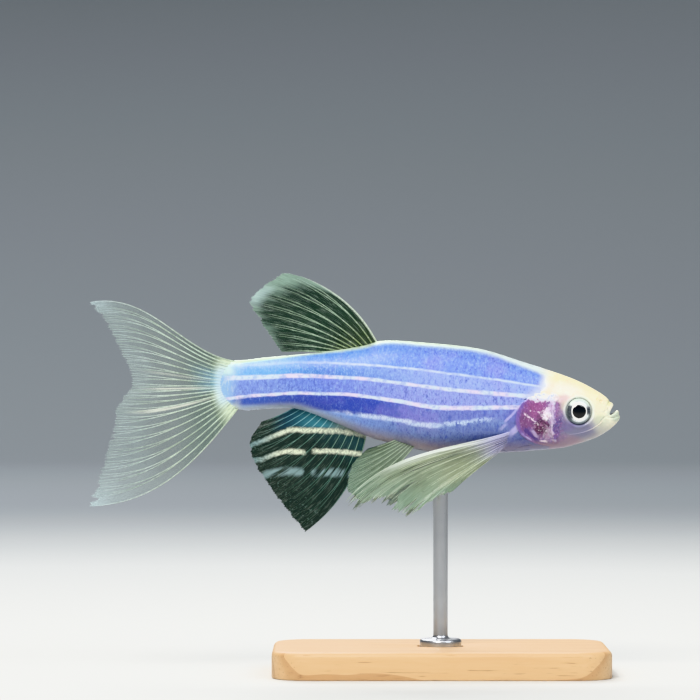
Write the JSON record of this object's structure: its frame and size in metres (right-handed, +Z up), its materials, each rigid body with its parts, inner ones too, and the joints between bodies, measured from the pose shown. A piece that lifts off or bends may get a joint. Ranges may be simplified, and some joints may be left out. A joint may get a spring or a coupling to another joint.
{
  "type": "zebra danio display model",
  "caption": "Life-size long-finned zebra danio in a swimming pose, held over a small wooden base on a thin rod.",
  "frame": {"origin": "centre of the underside of the stand's base, straight below the rod", "axes": "+X towards the fish's nose, +Y to its left side, +Z up; the fish is tipped 4 degrees nose down"},
  "size_m": [0.051, 0.018, 0.0382],
  "materials": {
    "head_skin": "satin, pale cream skin",
    "body_skin": "pearly scaled skin, sky blue with fine pale stripes",
    "gill_cover": "pearly violet and pink",
    "eye": "polished, silver iris and black pupil",
    "barbel": "satin",
    "clear_fin": "clear membrane with whitish rays",
    "dark_fin": "dark teal membrane with cream stripes",
    "pale_fin": "milky membrane with whitish rays",
    "base_wood": "oiled maple",
    "rod_steel": "brushed"
  },
  "bodies": {
    "root": {"head": "head_skin", "trunk": "body_skin", "tail": "body_skin", "gill_cover_left": "gill_cover", "gill_cover_right": "gill_cover", "eye_left": "eye", "eye_right": "eye", "rostral_barbel_left": "barbel", "rostral_barbel_right": "barbel", "maxillary_barbel_left": "barbel", "maxillary_barbel_right": "barbel", "dorsal_fin": "clear_fin", "caudal_fin_upper": "clear_fin", "caudal_fin_lower": "clear_fin", "anal_fin": "dark_fin", "pelvic_fin_left": "clear_fin", "pelvic_fin_right": "clear_fin", "pectoral_fin_left": "pale_fin", "pectoral_fin_right": "pale_fin", "stand_base": "base_wood", "stand_rod": "rod_steel"}
  },
  "joints": []
}
